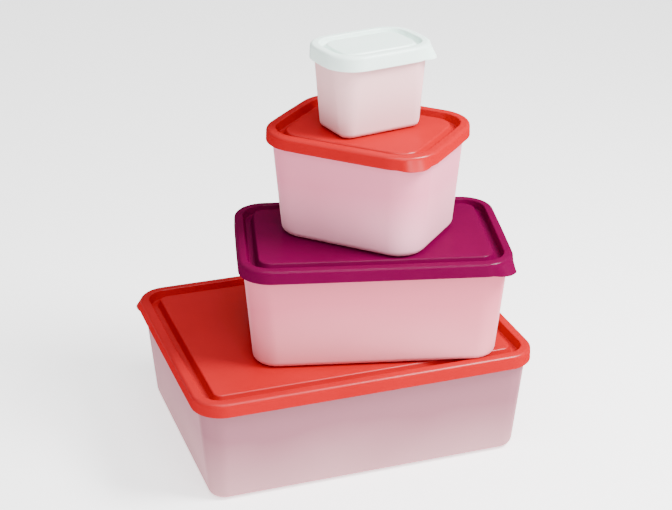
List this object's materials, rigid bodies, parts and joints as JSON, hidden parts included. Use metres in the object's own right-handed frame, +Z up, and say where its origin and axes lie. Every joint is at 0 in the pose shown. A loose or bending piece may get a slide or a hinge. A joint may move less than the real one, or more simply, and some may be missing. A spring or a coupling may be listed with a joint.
{
  "type": "snap lid food container",
  "caption": "Stack of lidded food containers in graded sizes, each a tapered frosted tub with a lipped mouth and a snap-fit moulded lid with a corner pull tab.",
  "frame": {"origin": "centre of the underside of the large tub, the face the stack stands on", "axes": "+Z up through the stack; +X along the large container's length; +Y along its width, towards the long side away from the medium container's overhang"},
  "size_m": [0.2633, 0.2113, 0.3075],
  "materials": {
    "frosted_tub": "frosted translucent, pale pink",
    "coral_lid": "satin, coral",
    "purple_lid": "satin, red purple",
    "mint_lid": "satin, translucent mint white"
  },
  "bodies": {
    "large_tub": {"large_tub": "frosted_tub"},
    "large_lid": {"large_lid": "coral_lid"},
    "medium_tub": {"medium_tub": "frosted_tub"},
    "medium_lid": {"medium_lid": "purple_lid"},
    "small_tub": {"small_tub": "frosted_tub"},
    "small_lid": {"small_lid": "coral_lid"},
    "mini_tub": {"mini_tub": "frosted_tub"},
    "mini_lid": {"mini_lid": "mint_lid"}
  },
  "joints": [
    {"name": "large_lid_lift", "type": "slide", "parent": "large_tub", "child": "large_lid", "axis": [0, 0, 1], "range_m": [0, 0.1]},
    {"name": "medium_tub_lift", "type": "slide", "parent": "large_lid", "child": "medium_tub", "axis": [0, 0, 1], "range_m": [0, 0.08]},
    {"name": "medium_lid_lift", "type": "slide", "parent": "medium_tub", "child": "medium_lid", "axis": [0, 0, 1], "range_m": [0, 0.1]},
    {"name": "small_tub_lift", "type": "slide", "parent": "medium_lid", "child": "small_tub", "axis": [0, 0, 1], "range_m": [0, 0.08]},
    {"name": "small_lid_lift", "type": "slide", "parent": "small_tub", "child": "small_lid", "axis": [0, 0, 1], "range_m": [0, 0.1]},
    {"name": "mini_tub_lift", "type": "slide", "parent": "small_lid", "child": "mini_tub", "axis": [0, 0, 1], "range_m": [0, 0.08]},
    {"name": "mini_lid_lift", "type": "slide", "parent": "mini_tub", "child": "mini_lid", "axis": [0, 0, 1], "range_m": [0, 0.1]}
  ]
}
